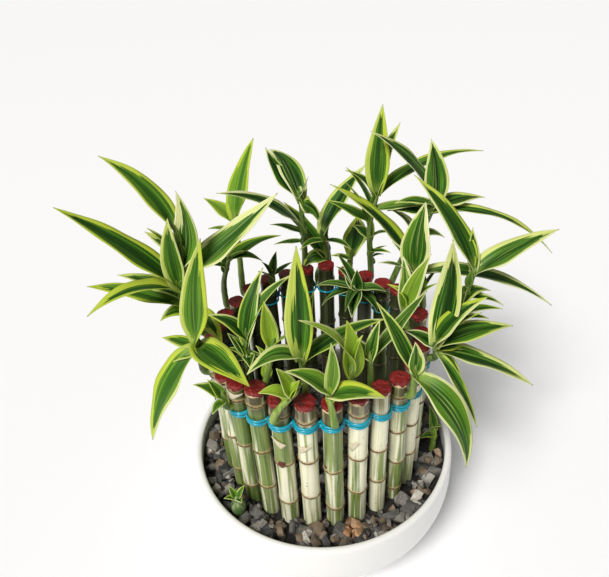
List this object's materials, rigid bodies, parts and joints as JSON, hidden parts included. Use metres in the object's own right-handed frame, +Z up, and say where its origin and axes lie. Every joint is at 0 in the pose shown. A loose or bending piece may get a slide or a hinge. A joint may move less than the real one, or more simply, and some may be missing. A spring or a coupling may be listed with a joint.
{
  "type": "potted plant",
  "caption": "Ring of cut lucky bamboo canes with striped leafy shoots, tied with blue wire and standing in dark gravel in a low round white bowl.",
  "frame": {"origin": "middle of the bowl's flat foot, on the surface it stands on", "axes": "+Z up, -Y towards the front of the pictured view, +X to its right"},
  "size_m": [0.3242, 0.2283, 0.2986],
  "materials": {
    "bowl": "satin white glaze",
    "gravel": "broken dark stone",
    "cane": "smooth pale green and ivory bark with red wax on the cut top",
    "tie": "glossy blue",
    "leaf": "glossy green with yellow and cream margins"
  },
  "bodies": {
    "root": {"bowl": "bowl", "gravel": "gravel", "cane_01": "cane", "cane_02": "cane", "cane_03": "cane", "cane_04": "cane", "cane_05": "cane", "cane_06": "cane", "cane_07": "cane", "cane_08": "cane", "cane_09": "cane", "cane_10": "cane", "cane_11": "cane", "cane_12": "cane", "cane_13": "cane", "cane_14": "cane", "cane_15": "cane", "cane_16": "cane", "cane_17": "cane", "cane_18": "cane", "cane_19": "cane", "cane_20": "cane", "cane_21": "cane", "cane_22": "cane", "cane_23": "cane", "cane_24": "cane", "cane_25": "cane", "cane_26": "cane", "cane_27": "cane", "cane_28": "cane", "tie": "tie", "shoot_22_outer": "leaf", "shoot_24_outer": "leaf", "shoot_19_outer": "leaf", "shoot_20_outer": "leaf", "shoot_16_outer": "leaf", "shoot_15_outer": "leaf", "shoot_14_outer": "leaf", "shoot_13_outer": "leaf", "shoot_13_inner": "leaf", "shoot_12_outer": "leaf", "shoot_11_outer": "leaf", "shoot_10_outer": "leaf", "shoot_09_inner": "leaf", "shoot_08_outer": "leaf", "shoot_07_outer": "leaf", "shoot_05_outer": "leaf", "shoot_04_inner": "leaf", "shoot_03_inner": "leaf", "shoot_02_outer": "leaf", "shoot_01_inner": "leaf", "shoot_28_outer": "leaf", "shoot_27_inner": "leaf", "shoot_26_inner": "leaf", "shoot_26_outer": "leaf", "shoot_18_inner": "leaf", "bud_in_gravel": "leaf", "sprout_in_gravel": "leaf"}
  },
  "joints": []
}
